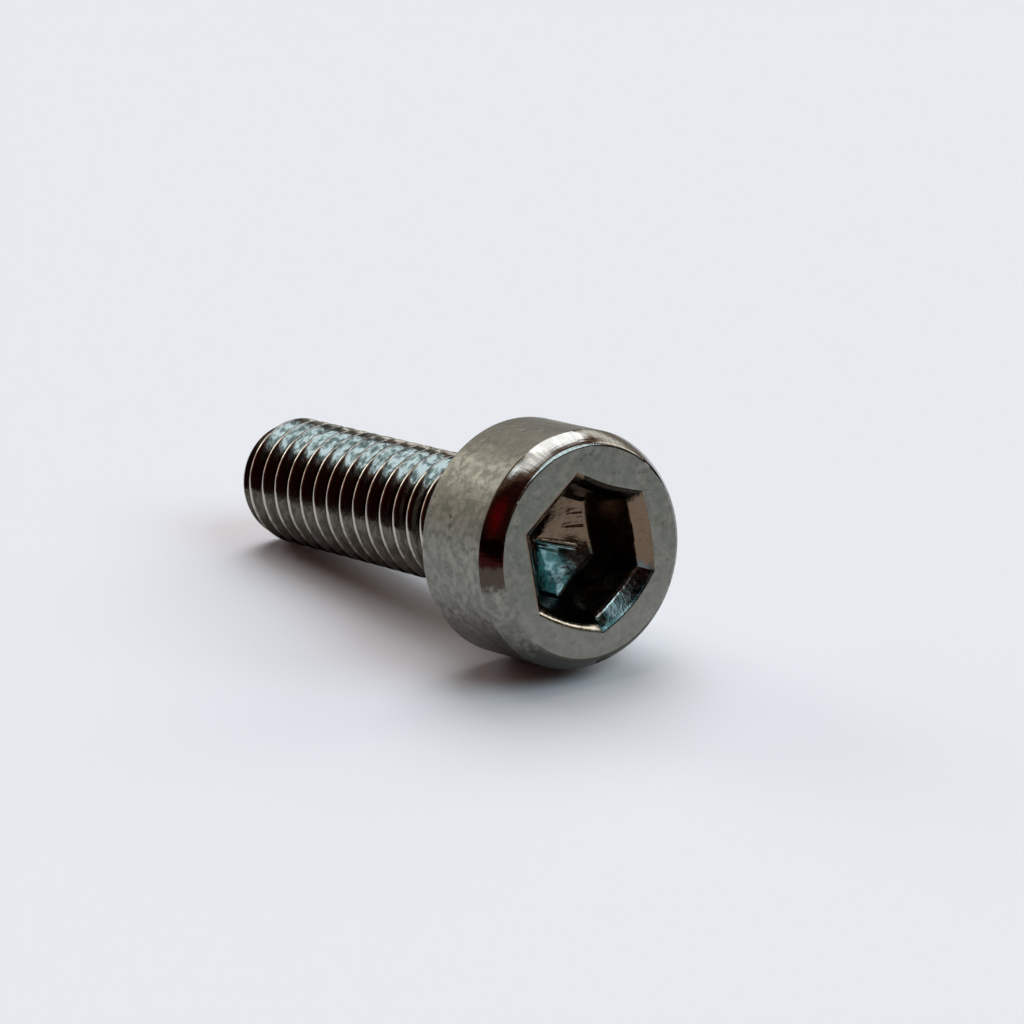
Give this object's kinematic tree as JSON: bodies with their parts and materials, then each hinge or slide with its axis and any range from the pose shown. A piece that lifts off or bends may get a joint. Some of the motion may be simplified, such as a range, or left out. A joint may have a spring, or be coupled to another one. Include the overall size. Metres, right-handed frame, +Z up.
{
  "type": "hexagon socket head cap screw",
  "caption": "Small steel cap screw with a plain cylindrical head, a bevelled hexagon socket and a full right-hand thread.",
  "frame": {"origin": "centre of the screw's box on the floor it lies on", "axes": "+X runs towards the head, along the screw as seen from above; the axis rises 7.7 degrees to the head, because the screw lies on its head's rim and its tip; +Z is up"},
  "size_m": [0.016, 0.0068, 0.0072],
  "materials": {
    "steel": "bare steel with a tumbled, faintly mottled head, a turned bright top edge and a rolled bright thread"
  },
  "bodies": {
    "root": {"cap_screw": "steel"}
  },
  "joints": []
}
